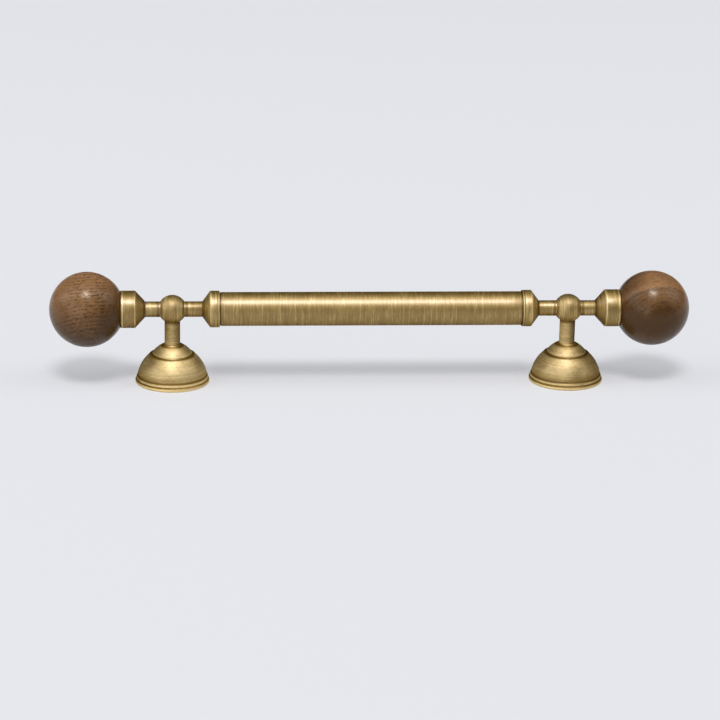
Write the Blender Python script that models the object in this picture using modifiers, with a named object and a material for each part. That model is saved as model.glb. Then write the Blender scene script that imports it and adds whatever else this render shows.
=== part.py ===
"""Bar pull for a drawer or a cupboard door, in aged brass with a turned walnut ball on each end.

A brass tube is the grip. A ferrule closes each end of it, and a tie rod inside draws the two ferrules together.
From each ferrule a thin rod runs through a cross-drilled ball joint to a cup, and a wooden ball is screwed to the cup.
A post holds each ball joint up. Its threaded end goes through a small domed collar into the foot, a larger dome, and a
machine screw from behind the drawer front goes into the same tapped hole from below.

Frame: the drawer front is the plane z = 0, x runs along the grip, and the origin lies midway between the two feet.
Each end is built once, in a frame of its own with its x pointing outwards from the post, and placed twice.
"""

import math

import bmesh
import bpy

MM = 0.001

# Overall layout
HOLE_SPACING = 128.0 * MM  # between the two fixing screws
AXIS_HEIGHT = 24.3 * MM  # the grip's axis above the drawer front

# Fits, the same all over the pull
SEAT_GAP = 0.3 * MM  # between a shoulder and its seat, and around a plain spigot
THREAD_GAP = 0.2 * MM  # between a screwed piece and its tapped hole, on the radius
THREAD_HOLE = 3.4 * MM  # tapped holes, at the tapping size of a 4 mm machine screw

# Grip
GRIP_DIAMETER = 10.9 * MM
GRIP_WALL = 1.0 * MM

# Ferrules
FERRULE_LIP = 0.45 * MM  # how far the band stands proud of the grip
FERRULE_BAND = 3.05 * MM
FERRULE_CONE = 2.4 * MM
FERRULE_SPIGOT = 6.0 * MM  # length inside the grip
FERRULE_ROUND = 0.35 * MM  # rounding of the band's edge beside the grip

# Cross rods
ROD_DIAMETER = 5.0 * MM
NECK_INNER = 9.75 * MM  # from the post's axis to the ferrule
NECK_OUTER = 8.8 * MM  # from the post's axis to the cup
ROD_SPIGOT = 3.0 * MM  # threaded length at each end
ROD_HOLE_DEPTH = 3.2 * MM  # cross hole for the post's tenon, from the rod's underside
TIP_LAND = 0.15 * MM  # how far a cone's small end stands proud of the rod

# Ball joints
JOINT_DIAMETER = 9.2 * MM
JOINT_WALL = 0.8 * MM  # left between the rod's bore and the post's seat

# Posts
POST_DIAMETER = 5.0 * MM
POST_TENON_DIAMETER = 2.6 * MM
POST_SPIGOT = 4.5 * MM  # threaded length inside the foot
POST_SEAT_DEPTH = 0.8 * MM  # how deep the post sits in the collar

# Collars between the posts and the feet
COLLAR_HEIGHT = 3.2 * MM
COLLAR_LEDGE = 0.85 * MM  # how far the foot's shoulder stands out past the collar
COLLAR_ROUND = 0.2 * MM  # rounding of the collar's lower edge
COLLAR_TOP_RIM = 0.2 * MM  # width of the rim round the post's seat

# Feet
FOOT_DIAMETER = 23.9 * MM
FOOT_HEIGHT = 9.0 * MM
FOOT_SHOULDER_DIAMETER = 15.2 * MM
FOOT_SHOULDER_ROUND = 0.2 * MM
BASE_BEAD_HEIGHT = 1.3 * MM
BASE_BEAD_BULGE = 0.2 * MM
UPPER_BEAD_HEIGHT = 1.2 * MM
UPPER_BEAD_BULGE = 0.3 * MM
UPPER_BEAD_SETBACK = 0.4 * MM
FOOT_COUNTERSINK = 0.4 * MM

# Cups
CUP_DIAMETER = 12.0 * MM
CUP_CONE = 3.1 * MM
CUP_BAND = 4.4 * MM
CUP_LAND = 0.3 * MM  # width of the rim that meets the wooden ball
CUP_ROUND = 0.2 * MM

# Wooden balls and what fixes them
BALL_DIAMETER = 24.2 * MM
INSERT_DIAMETER = 6.5 * MM
INSERT_LENGTH = 9.0 * MM
INSERT_END_SPACE = 0.5 * MM
STUD_ENGAGEMENT = 7.0 * MM
END_CHAMFER = 0.3 * MM  # on the ends of rods and studs

# Faces round each turned piece, and along the arcs of its profile
STEPS_WIDE = 32
STEPS_NARROW = 20
STEPS_BALL = 16
STEPS_JOINT = 10
STEPS_DOME = 6
STEPS_BEAD = 4
STEPS_SEAT = 3
STEPS_ROUND = 2
SMOOTH_ANGLE = math.radians(35)
MERGE_DISTANCE = 0.005 * MM

GRIP_RADIUS = GRIP_DIAMETER / 2
GRIP_BORE = GRIP_RADIUS - GRIP_WALL
ROD_RADIUS = ROD_DIAMETER / 2
ROD_BORE = ROD_RADIUS + SEAT_GAP
TIP_RADIUS = ROD_RADIUS + TIP_LAND
JOINT_RADIUS = JOINT_DIAMETER / 2
POST_RADIUS = POST_DIAMETER / 2
TENON_RADIUS = POST_TENON_DIAMETER / 2
TAPPED_RADIUS = THREAD_HOLE / 2
THREAD_RADIUS = TAPPED_RADIUS - THREAD_GAP
CUP_RADIUS = CUP_DIAMETER / 2
BALL_RADIUS = BALL_DIAMETER / 2
POCKET_RADIUS = INSERT_DIAMETER / 2 + SEAT_GAP

# Places along the bar, measured outwards from the post's axis
FERRULE_TIP = -NECK_INNER
FERRULE_SHOULDER = FERRULE_TIP - FERRULE_CONE
GRIP_END = FERRULE_SHOULDER - FERRULE_BAND
CUP_SHOULDER = NECK_OUTER + CUP_CONE
CUP_MOUTH = CUP_SHOULDER + CUP_BAND
SEAT_RADIUS = BALL_RADIUS + SEAT_GAP
BALL_CENTRE = CUP_MOUTH + math.sqrt(SEAT_RADIUS**2 - (CUP_RADIUS - CUP_LAND) ** 2)
POCKET_MOUTH = -math.sqrt(BALL_RADIUS**2 - POCKET_RADIUS**2)  # from the ball's centre
INSERT_FACE = BALL_CENTRE + POCKET_MOUTH + SEAT_GAP

# Heights above the drawer front
JOINT_SEAT = AXIS_HEIGHT - ROD_BORE - JOINT_WALL
ROD_HOLE_TOP = AXIS_HEIGHT - ROD_RADIUS + ROD_HOLE_DEPTH
COLLAR_BASE = FOOT_HEIGHT + SEAT_GAP
COLLAR_TOP = COLLAR_BASE + COLLAR_HEIGHT
POST_SEAT = COLLAR_TOP - POST_SEAT_DEPTH
POST_SHOULDER = POST_SEAT + SEAT_GAP
POST_END = FOOT_HEIGHT - POST_SPIGOT

ALONG_THE_BAR = (0.0, math.pi / 2, 0.0)  # turns a profile's own axis to point outwards
UPRIGHT = (0.0, 0.0, 0.0)


def clear_scene():
    for obj in list(bpy.data.objects):
        bpy.data.objects.remove(obj, do_unlink=True)


def new_collection(name):
    collection = bpy.data.collections.new(name)
    bpy.context.scene.collection.children.link(collection)
    return collection


def finish(name, colour, roughness, metallic):
    """A plain Principled material."""
    material = bpy.data.materials.new(name)
    material.use_nodes = True
    shader = material.node_tree.nodes["Principled BSDF"]
    shader.inputs["Base Color"].default_value = (*colour, 1.0)
    shader.inputs["Roughness"].default_value = roughness
    shader.inputs["Metallic"].default_value = metallic
    return material


def dome(start, end, steps):
    """Points after start, up to end, on an arc whose centre lies on the turning axis."""
    (r0, z0), (r1, z1) = start, end
    centre = (r0**2 + z0**2 - r1**2 - z1**2) / (2 * (z0 - z1))
    radius = math.hypot(r0, z0 - centre)
    first = math.atan2(z0 - centre, r0)
    last = math.atan2(z1 - centre, r1)
    angles = [first + (last - first) * i / steps for i in range(1, steps)]
    return [(radius * math.cos(a), centre + radius * math.sin(a)) for a in angles] + [end]


def bead(start, end, bulge, steps):
    """Points after start, up to end, on an arc that stands out from the straight line by bulge."""
    across = (end[0] - start[0], end[1] - start[1])
    chord = math.hypot(*across)
    along = (across[0] / chord, across[1] / chord)
    out = (-along[1], along[0])
    radius = (chord**2 / 4 + bulge**2) / (2 * bulge)
    half = math.asin(chord / 2 / radius)
    middle = ((start[0] + end[0]) / 2, (start[1] + end[1]) / 2)
    centre = [middle[k] - out[k] * (radius - bulge) for k in range(2)]
    points = []
    for i in range(1, steps):
        angle = half * (2 * i / steps - 1)
        outward = radius * math.cos(angle)
        forward = radius * math.sin(angle)
        points.append(tuple(centre[k] + out[k] * outward + along[k] * forward for k in range(2)))
    return points + [end]


def rounding(radius):
    """Bulge of the quarter circle that rounds a square edge."""
    return radius * (1 - math.sqrt(0.5))


def turned(name, profile, steps, collection, material=None):
    """A lathe-turned piece: profile holds (radius, height) points, down the outer side.
    A profile that starts and ends on the axis is solid, and any other is closed into a ring."""
    count = len(profile)
    on_axis = profile[0][0] == 0 and profile[-1][0] == 0
    edges = [(i, (i + 1) % count) for i in range(count - 1 if on_axis else count)]
    outline = bpy.data.meshes.new(name + "_profile")
    outline.from_pydata([(r, 0.0, z) for r, z in profile], edges, [])
    blank = bpy.data.objects.new(name + "_profile", outline)
    collection.objects.link(blank)
    screw = blank.modifiers.new("Turn", "SCREW")
    screw.axis = "Z"
    screw.angle = 2 * math.pi
    screw.steps = screw.render_steps = steps
    screw.use_merge_vertices = True
    screw.merge_threshold = MERGE_DISTANCE

    graph = bpy.context.evaluated_depsgraph_get()
    mesh = bpy.data.meshes.new_from_object(blank.evaluated_get(graph))
    bpy.data.objects.remove(blank, do_unlink=True)
    bpy.data.meshes.remove(outline)
    mesh.name = name
    shape = bmesh.new()
    shape.from_mesh(mesh)
    bmesh.ops.recalc_face_normals(shape, faces=shape.faces)
    shape.to_mesh(mesh)
    shape.free()
    mesh.shade_smooth()
    mesh.set_sharp_from_angle(angle=SMOOTH_ANGLE)
    if material is not None:
        mesh.materials.clear()
        mesh.materials.append(material)
    piece = bpy.data.objects.new(name, mesh)
    collection.objects.link(piece)
    return piece


def place(piece, parent, location, rotation):
    piece.parent = parent
    piece.location = location
    piece.rotation_euler = rotation


def cut(piece, cutter):
    modifier = piece.modifiers.new("Cut", "BOOLEAN")
    modifier.operation = "DIFFERENCE"
    modifier.object = cutter


def threaded_end(shoulder, length):
    """From a shoulder to the axis at the end of a threaded spigot. A negative length runs downwards."""
    tip = shoulder + length
    chamfer = math.copysign(END_CHAMFER, length)
    return [
        (THREAD_RADIUS, shoulder),
        (THREAD_RADIUS, tip - chamfer),
        (THREAD_RADIUS - END_CHAMFER, tip),
        (0.0, tip),
    ]


def rod_of(first, last):
    """Profile of a plain threaded rod between two places on its axis, the higher one first."""
    middle = (first + last) / 2
    return threaded_end(middle, first - middle)[:0:-1] + threaded_end(middle, last - middle)[1:]


def grip_tube_profile():
    half = HOLE_SPACING / 2 + GRIP_END - SEAT_GAP
    return [(GRIP_BORE, half), (GRIP_RADIUS, half), (GRIP_RADIUS, -half), (GRIP_BORE, -half)]


def tie_rod_profile():
    half = HOLE_SPACING / 2 - NECK_INNER - ROD_SPIGOT
    return rod_of(half, -half)


def ferrule_profile():
    band = GRIP_RADIUS + FERRULE_LIP
    spigot = GRIP_BORE - SEAT_GAP
    inner_end = GRIP_END - FERRULE_SPIGOT
    edge = (band, GRIP_END + FERRULE_ROUND)
    return [
        (TAPPED_RADIUS, FERRULE_TIP),
        (TIP_RADIUS, FERRULE_TIP),
        (band, FERRULE_SHOULDER),
        edge,
        *bead(edge, (band - FERRULE_ROUND, GRIP_END), rounding(FERRULE_ROUND), STEPS_ROUND),
        (spigot, GRIP_END),
        (spigot, inner_end),
        (TAPPED_RADIUS, inner_end),
    ]


def cross_rod_profile():
    outer = NECK_OUTER - SEAT_GAP
    inner = FERRULE_TIP + SEAT_GAP
    body = [(ROD_RADIUS, outer), (ROD_RADIUS, inner)]
    return threaded_end(outer, ROD_SPIGOT)[::-1] + body + threaded_end(inner, -ROD_SPIGOT)


def ball_joint_profile():
    """A bead bored to slide over the cross rod."""
    edge = math.sqrt(JOINT_RADIUS**2 - ROD_BORE**2)
    return [(ROD_BORE, edge), *dome((ROD_BORE, edge), (ROD_BORE, -edge), STEPS_JOINT)]


def post_hole_profile():
    """What is cut from the ball joint and the rod: a seat for the post and a hole for its tenon."""
    hole = TENON_RADIUS + THREAD_GAP
    seat = POST_RADIUS + SEAT_GAP
    below = AXIS_HEIGHT - 2 * JOINT_RADIUS
    return [
        (0.0, ROD_HOLE_TOP),
        (hole, ROD_HOLE_TOP),
        (hole, JOINT_SEAT),
        (seat, JOINT_SEAT),
        (seat, below),
        (0.0, below),
    ]


def post_profile():
    top = JOINT_SEAT - SEAT_GAP
    tenon_top = ROD_HOLE_TOP - SEAT_GAP
    return [
        (0.0, tenon_top),
        (TENON_RADIUS - END_CHAMFER, tenon_top),
        (TENON_RADIUS, tenon_top - END_CHAMFER),
        (TENON_RADIUS, top),
        (POST_RADIUS, top),
        (POST_RADIUS, POST_SHOULDER),
        *threaded_end(POST_SHOULDER, POST_END - POST_SHOULDER),
    ]


def collar_profile():
    """A small dome with a seat for the post in its top and a plain hole for the post's threaded end."""
    post_seat = POST_RADIUS + SEAT_GAP
    top = (post_seat + COLLAR_TOP_RIM, COLLAR_TOP)
    base_radius = FOOT_SHOULDER_DIAMETER / 2 - COLLAR_LEDGE
    edge = (base_radius, COLLAR_BASE + COLLAR_ROUND)
    hole = THREAD_RADIUS + SEAT_GAP
    return [
        (post_seat, POST_SEAT),
        (post_seat, COLLAR_TOP),
        top,
        *dome(top, edge, STEPS_DOME),
        *bead(edge, (base_radius - COLLAR_ROUND, COLLAR_BASE), rounding(COLLAR_ROUND), STEPS_ROUND),
        (hole, COLLAR_BASE),
        (hole, POST_SEAT),
    ]


def foot_profile():
    """A dome with a flat top over a rim of two beads, tapped right through."""
    shoulder = (FOOT_SHOULDER_DIAMETER / 2, FOOT_HEIGHT - FOOT_SHOULDER_ROUND)
    flat_edge = (shoulder[0] - FOOT_SHOULDER_ROUND, FOOT_HEIGHT)
    base_edge = FOOT_DIAMETER / 2 - BASE_BEAD_BULGE
    upper_edge = FOOT_DIAMETER / 2 - UPPER_BEAD_SETBACK - UPPER_BEAD_BULGE
    bead_foot = (upper_edge, BASE_BEAD_HEIGHT)
    bead_top = (upper_edge, BASE_BEAD_HEIGHT + UPPER_BEAD_HEIGHT)
    base_top = (base_edge, BASE_BEAD_HEIGHT)
    return [
        (TAPPED_RADIUS, FOOT_HEIGHT),
        flat_edge,
        *bead(flat_edge, shoulder, rounding(FOOT_SHOULDER_ROUND), STEPS_ROUND),
        *dome(shoulder, bead_top, STEPS_DOME),
        *bead(bead_top, bead_foot, UPPER_BEAD_BULGE, STEPS_BEAD),
        base_top,
        *bead(base_top, (base_edge, 0.0), BASE_BEAD_BULGE, STEPS_BEAD),
        (TAPPED_RADIUS + FOOT_COUNTERSINK, 0.0),
        (TAPPED_RADIUS, FOOT_COUNTERSINK),
    ]


def cup_profile():
    """A cone that opens into a short collar, hollowed at the mouth to the wooden ball's own curve."""
    rim = (CUP_RADIUS - CUP_LAND, CUP_MOUTH)
    floor = (TAPPED_RADIUS, BALL_CENTRE - math.sqrt(SEAT_RADIUS**2 - TAPPED_RADIUS**2))
    return [
        floor,
        *dome(floor, rim, STEPS_SEAT),
        (CUP_RADIUS - CUP_ROUND, CUP_MOUTH),
        (CUP_RADIUS, CUP_MOUTH - CUP_ROUND),
        (CUP_RADIUS, CUP_SHOULDER),
        (TIP_RADIUS, NECK_OUTER),
        (TAPPED_RADIUS, NECK_OUTER),
    ]


def ball_stud_profile():
    return rod_of(INSERT_FACE + STUD_ENGAGEMENT, NECK_OUTER + ROD_SPIGOT)


def insert_profile():
    outside = INSERT_DIAMETER / 2
    far_end = INSERT_FACE + INSERT_LENGTH
    return [
        (TAPPED_RADIUS, far_end),
        (outside - END_CHAMFER, far_end),
        (outside, far_end - END_CHAMFER),
        (outside, INSERT_FACE),
        (TAPPED_RADIUS, INSERT_FACE),
    ]


def wood_ball_profile():
    """A ball about its own centre, with a blind hole for the insert on the side of the cup."""
    pole = (0.0, BALL_RADIUS)
    mouth = (POCKET_RADIUS, POCKET_MOUTH)
    floor = POCKET_MOUTH + SEAT_GAP + INSERT_LENGTH + INSERT_END_SPACE
    return [pole, *dome(pole, mouth, STEPS_BALL), (POCKET_RADIUS, floor), (0.0, floor)]


def build_grip(parts, finishes, root):
    middle = (0.0, 0.0, AXIS_HEIGHT)
    tube = turned("grip_tube", grip_tube_profile(), STEPS_WIDE, parts, finishes["brushed_brass"])
    place(tube, root, middle, ALONG_THE_BAR)
    tie = turned("tie_rod", tie_rod_profile(), STEPS_NARROW, parts, finishes["steel"])
    place(tie, root, middle, ALONG_THE_BAR)


def build_end(side, x, turn, parts, cutters, finishes, root):
    """One end of the pull, from the ferrule out to the wooden ball, and what stands below it."""
    post_axis = bpy.data.objects.new(side + "_post_axis", None)
    parts.objects.link(post_axis)
    place(post_axis, root, (x, 0.0, 0.0), (0.0, 0.0, turn))

    on_bar = (0.0, 0.0, AXIS_HEIGHT)
    on_floor = (0.0, 0.0, 0.0)
    at_ball = (BALL_CENTRE, 0.0, AXIS_HEIGHT)
    pieces = {}
    for name, profile, steps, look, location, rotation in (
        ("ferrule", ferrule_profile(), STEPS_WIDE, "turned_brass", on_bar, ALONG_THE_BAR),
        ("cross_rod", cross_rod_profile(), STEPS_NARROW, "turned_brass", on_bar, ALONG_THE_BAR),
        ("ball_joint", ball_joint_profile(), STEPS_NARROW, "turned_brass", on_bar, ALONG_THE_BAR),
        ("post", post_profile(), STEPS_NARROW, "turned_brass", on_floor, UPRIGHT),
        ("collar", collar_profile(), STEPS_WIDE, "turned_brass", on_floor, UPRIGHT),
        ("foot", foot_profile(), STEPS_WIDE, "turned_brass", on_floor, UPRIGHT),
        ("cup", cup_profile(), STEPS_WIDE, "turned_brass", on_bar, ALONG_THE_BAR),
        ("ball_stud", ball_stud_profile(), STEPS_NARROW, "steel", on_bar, ALONG_THE_BAR),
        ("insert", insert_profile(), STEPS_NARROW, "turned_brass", on_bar, ALONG_THE_BAR),
        ("wood_ball", wood_ball_profile(), STEPS_WIDE, "walnut", at_ball, ALONG_THE_BAR),
    ):
        pieces[name] = turned(f"{side}_{name}", profile, steps, parts, finishes[look])
        place(pieces[name], post_axis, location, rotation)

    post_hole = turned(side + "_post_hole", post_hole_profile(), STEPS_NARROW, cutters)
    place(post_hole, post_axis, on_floor, UPRIGHT)
    post_hole.hide_render = True
    post_hole.display_type = "WIRE"
    cut(pieces["ball_joint"], post_hole)
    cut(pieces["cross_rod"], post_hole)


def main():
    clear_scene()
    parts = new_collection("bar_pull")
    cutters = new_collection("cutters")
    finishes = {
        "brushed_brass": finish("brushed_brass", (0.48, 0.35, 0.15), 0.35, 1.0),
        "turned_brass": finish("turned_brass", (0.45, 0.32, 0.13), 0.38, 1.0),
        "walnut": finish("walnut", (0.14, 0.068, 0.034), 0.45, 0.0),
        "steel": finish("steel", (0.5, 0.5, 0.5), 0.4, 1.0),
    }
    root = bpy.data.objects.new("pull_origin", None)
    parts.objects.link(root)
    build_grip(parts, finishes, root)
    build_end("right", HOLE_SPACING / 2, 0.0, parts, cutters, finishes, root)
    build_end("left", -HOLE_SPACING / 2, math.pi, parts, cutters, finishes, root)


main()
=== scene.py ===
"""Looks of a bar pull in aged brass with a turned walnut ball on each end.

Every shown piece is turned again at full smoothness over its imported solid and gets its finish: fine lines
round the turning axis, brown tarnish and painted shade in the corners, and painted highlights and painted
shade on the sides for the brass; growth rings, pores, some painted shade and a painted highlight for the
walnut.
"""

import math
from collections import namedtuple

import bpy
from mathutils import Euler, Matrix, Vector


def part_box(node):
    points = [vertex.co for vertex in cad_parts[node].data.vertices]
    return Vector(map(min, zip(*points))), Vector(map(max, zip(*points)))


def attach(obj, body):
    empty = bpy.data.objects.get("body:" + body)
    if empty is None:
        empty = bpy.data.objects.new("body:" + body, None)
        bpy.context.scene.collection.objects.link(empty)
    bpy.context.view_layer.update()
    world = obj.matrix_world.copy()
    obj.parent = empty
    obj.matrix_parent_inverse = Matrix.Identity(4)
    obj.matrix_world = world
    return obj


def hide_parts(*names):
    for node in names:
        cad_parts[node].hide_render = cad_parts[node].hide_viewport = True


bl_info = {
    "name": "Bar Pull Looks",
    "version": (1, 0, 0),
    "blender": (4, 5, 0),
    "location": "View3D > Sidebar > Bar Pull",
    "description": "Turned brass and walnut pieces of a bar pull, fitted over its solids",
    "category": "Object",
}

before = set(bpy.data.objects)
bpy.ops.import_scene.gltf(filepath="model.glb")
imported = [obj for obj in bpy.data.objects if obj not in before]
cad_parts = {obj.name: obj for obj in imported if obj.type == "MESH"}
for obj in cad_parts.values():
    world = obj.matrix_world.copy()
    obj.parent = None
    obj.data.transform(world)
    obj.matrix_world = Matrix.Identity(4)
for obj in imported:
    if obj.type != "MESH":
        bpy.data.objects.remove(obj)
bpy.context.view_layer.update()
MM = 0.001


def solid(node):
    """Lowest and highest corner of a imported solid."""
    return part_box(node)


def half_height(node):
    """Radius of a solid that lies along the bar."""
    low, high = solid(node)
    return (high.z - low.z) / 2


# What the boxes of the solids give
GRIP_LOW, GRIP_HIGH = solid("grip_tube")
FERRULE_LOW, FERRULE_HIGH = solid("right_ferrule")
POST_LOW, POST_HIGH = solid("right_post")
COLLAR_LOW, COLLAR_HIGH = solid("right_collar")
FOOT_BASE = solid("right_foot")[0].z
AXIS_HEIGHT = (GRIP_LOW.z + GRIP_HIGH.z) / 2
GRIP_RADIUS = half_height("grip_tube")
FERRULE_RADIUS = half_height("right_ferrule")
FERRULE_TIP = FERRULE_HIGH.x
CUP_RADIUS = half_height("right_cup")
CUP_TIP = solid("right_cup")[0].x
BALL_RADIUS = half_height("right_wood_ball")
BALL_CENTRE = solid("right_wood_ball")[1].x - BALL_RADIUS
JOINT_RADIUS = solid("right_ball_joint")[1].z - AXIS_HEIGHT
POST_X = (POST_LOW.x + POST_HIGH.x) / 2
POST_RADIUS = POST_HIGH.x - POST_X
COLLAR_RADIUS = COLLAR_HIGH.x - POST_X

# How pieces are turned and fitted
SEAM = 0.02 * MM  # left between two pieces that meet
WELD = 0.001 * MM  # points nearer than this are one
EASE_STEPS = 3
SMOOTH_ANGLE = math.radians(35)

# Grip, with a groove round each end
GRIP_END = 48.8 * MM
GRIP_BORE = 4.45 * MM
GRIP_NECK = GRIP_RADIUS - 0.2 * MM
GRIP_RINGS = 24
GROOVE_WIDTH = 0.2 * MM
GROOVE_SLOPE = 0.06 * MM

# Ferrule: a cone and a band, which ends in a fine line and a bead beside the grip
CONE_TIP = 2.65 * MM
FERRULE_SHOULDER = 51.85 * MM
FERRULE_SPIGOT = 4.15 * MM
BAND_BEAD_TOP = GRIP_END + 0.7 * MM
BAND_BEAD_FOOT = GRIP_END + 0.03 * MM
BAND_BEAD_STEPS = 10
BAND_LINE = 0.12 * MM  # width and depth of the line, and bulge of the bead
BAND_LINE_EDGE = 0.05 * MM
BAND_UNDERCUT = 0.1 * MM

# Rod, ball joint and post, with their threaded and plain ends
ROD_RADIUS = 2.5 * MM
SPIGOT_RADIUS = 1.5 * MM
SPIGOT_LENGTH = 3.0 * MM
TAPPED_RADIUS = 1.7 * MM
TENON_RADIUS = 1.3 * MM
JOINT_STEPS = 48
SEAT_MARGIN = 0.04 * MM
JOINT_SEAT = AXIS_HEIGHT - math.sqrt(JOINT_RADIUS**2 - (POST_RADIUS + SEAT_MARGIN) ** 2)
POST_SEAT = 11.7 * MM

# Collar: a flare round the post, a rim, a dome and a hollow at the lower edge
COLLAR_RIM = 3.4 * MM
COLLAR_STEPS = 24
FLARE_RISE = 0.13 * MM
FLARE_DROP = 0.35 * MM
FLARE_STEPS = 8
RIM_STEP = 0.05 * MM
RIM_DROP = 0.3 * MM
SKIRT_INSET = 0.4 * MM
SKIRT_HEIGHT = 0.35 * MM
HOLLOW_SPREAD = 0.12 * MM
HOLLOW_DROP = 0.33 * MM
HOLLOW_STEPS = 6

# Foot: an eased shoulder, a dome and two beads, with a tapped hole from below
FOOT_TOP = COLLAR_LOW.z - SEAM
FOOT_STEPS = 40
SHOULDER_RADIUS = 7.6 * MM
SHOULDER_LEDGE = 1.1 * MM
SHOULDER_EASE = 0.5 * MM
SHOULDER_TURNS = (0.2, 0.4, 0.6, 0.8, 1.0)  # radians from the level top to each ring of the easing
BEAD_STEPS = 14
UPPER_BEAD_TOP = 2.2 * MM
UPPER_BEAD_RADIUS = 11.25 * MM
UPPER_BEAD_BULGE = 0.3 * MM
BASE_BEAD_TOP = 1.0 * MM
BASE_BEAD_RADIUS = 11.75 * MM
BASE_BEAD_BULGE = 0.2 * MM
BEAD_TUCK = 0.08 * MM
COUNTERSINK = 0.4 * MM
THREAD_PITCH = 0.7 * MM
THREAD_DEPTH = 0.18 * MM
THREAD_TURNS = 5
THREAD_CREST = (0.4, 0.6)  # where a ridge is highest, as shares of the pitch

# Cup and the wooden ball that it carries
CUP_SHOULDER = 75.9 * MM
CUP_LIP = CUP_RADIUS - 0.25 * MM
CUP_LIP_EDGE = 0.2 * MM
CUP_MOUTH = BALL_CENTRE - math.sqrt(BALL_RADIUS**2 - CUP_LIP**2) - SEAM
CUP_HOLLOW = (2.5 * MM, 3.5 * MM, 4.5 * MM, 5.2 * MM)  # radii of the rings that follow the ball
POCKET_RADIUS = 3.55 * MM
POCKET_DEPTH = 9.8 * MM
BALL_STEPS = 72

# A turning axis: a point on it, its direction, and the rotation that sets a circle across it
Axis = namedtuple("Axis", "origin direction turn")
BAR = Axis(Vector((0.0, 0.0, AXIS_HEIGHT)), Vector((1.0, 0.0, 0.0)), (0.0, math.pi / 2, 0.0))
POST = Axis(Vector((POST_X, 0.0, 0.0)), Vector((0.0, 0.0, 1.0)), (0.0, 0.0, 0.0))

# Blotches of the finishes to a metre
BRASS_CLOUDS = 220.0
WOOD_CLOUDS = 130.0
THREAD_SPECKS = 900.0

# A ring that is rubbed or stained, or a ring of painted highlight or painted shade: its place along the axis,
# how far it reaches on either side, and how strong it is
Mark = namedtuple("Mark", "place width strength")
SIDE_SHADE_REACH = 6.0 * MM  # from the middle of a post, collar or foot, where the painted shade at its two sides is strongest
UNDERSIDE_LACQUER = 0.72  # share of the lacquer that fingers have left underneath

# How bright the posts, and the feet with their collars, are rubbed, and how much more so per metre away from
# the
# grip. Partly painted light: the two ends differ in brightness, and the slope paints one side lighter.
POST_WEAR_AND_PAINTED_LIGHT = (("right", 0.63, -150.0), ("left", 0.68, 30.0))
FOOT_WEAR_AND_PAINTED_LIGHT = (("right", 0.645, -2.0), ("left", 0.74, -8.0))

# Brush lines: how much those round a piece differ, and the slopes, strength and lengths of the strokes across
# them
Brush = namedtuple("Brush", "contrast slopes strength lengths")
BAR_BRUSH = Brush(0.9, (0.2, -0.15), 0.3, (4.0 * MM, 3.0 * MM))
POST_BRUSH = Brush(0.5, (0.9, -0.6), 0.22, (3.5 * MM, 0.45 * MM, 2.5 * MM))

# Darker wood, or paler if its strength is below 0, on the side of a ball that way points to; some of them are
# painted shade or a painted highlight instead. It begins at near, measured from the ball's centre, and is
# full at far.
Patch = namedtuple("Patch", "way near far strength")
# Wood below sap, measured along the pole from the ball's centre, is paler. Over passage it turns into the
# darker wood, with a dark line between them.
Grain = namedtuple("Grain", "pole sap passage line dashes patches")
RIGHT_GRAIN = Grain(
    pole=(0.144, -0.827, -0.543),
    sap=1.5 * MM,
    passage=1.0 * MM,
    line=0.22,
    dashes=0.18,
    patches=(
        Patch((0.2, -0.8, -0.5), 3.0 * MM, 11.0 * MM, 0.38),
        # Painted shade on the side that faces the cup
        Patch((-1.0, 0.0, 0.1), 3.0 * MM, 11.0 * MM, 0.5),
        Patch((0.2, -0.97, 0.12), 10.8 * MM, 12.0 * MM, 0.2),
        Patch((-0.66, 0.0, 0.75), 9.5 * MM, 12.0 * MM, 0.3),
    ),
)
LEFT_GRAIN = Grain(
    pole=(0.05, -0.31, -0.95),
    sap=2.0 * MM,
    passage=14.0 * MM,
    line=0.0,
    dashes=0.38,
    patches=(
        Patch((0.8, -0.5, -0.3), 3.0 * MM, 11.0 * MM, 0.38),
        # Painted shade on the lower left
        Patch((-0.75, -0.1, -0.6), 3.0 * MM, 11.0 * MM, 0.35),
        Patch((0.6, -0.78, -0.2), 10.8 * MM, 12.0 * MM, 0.15),
        # Painted highlight: paler towards the upper front
        Patch((0.0, -0.8, 0.6), 10.4 * MM, 12.0 * MM, -0.15),
    ),
)
BENDS = ((70.0, 2.0 * MM), (260.0, 0.5 * MM))  # how fine a bend in the fibres is, and how far it goes
DASH_LENGTH = 1.3 * MM
DASH_WIDTH = 6.0 * MM
FIBRE_LENGTH = 2.6 * MM
FIBRE_WIDTH = 0.45 * MM
PORE_LENGTH = 1.3 * MM
PORE_WIDTH = 0.4 * MM
PORE_DEPTH = 0.02 * MM
SAP_LINE_OFFSET = 0.2 * MM
SAP_LINE_WIDTH = 0.5 * MM

# Stage
FLOOR_SIZE = 6.0
FLOOR_MATT = (0.715, 0.72, 0.745)
FLOOR_GLOW = 0.44  # share of the floor's pale look that no shadow falls on
FILL_COLOUR = (0.92, 0.97, 1.1)
LIGHT_DISTANCE = 2.0
KEY_SIDE = math.radians(-4)
CARD_HEIGHT, CARD_SIDE = math.radians(15), math.radians(-37)
PANEL_HEIGHT, PANEL_SIDE = math.radians(32), math.radians(85)

# The photograph's own view
VIEW_AZIMUTH, VIEW_ELEVATION, VIEW_ROLL = math.radians(-4.39), math.radians(18.179), math.radians(1.193)
VIEW_PAN, VIEW_TILT = math.radians(-0.181), math.radians(-0.938)
VIEW_DISTANCE = 1.01867
VIEW_LENS, VIEW_SENSOR = 157.87, 36.0  # in millimetres, as a camera takes them


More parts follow.
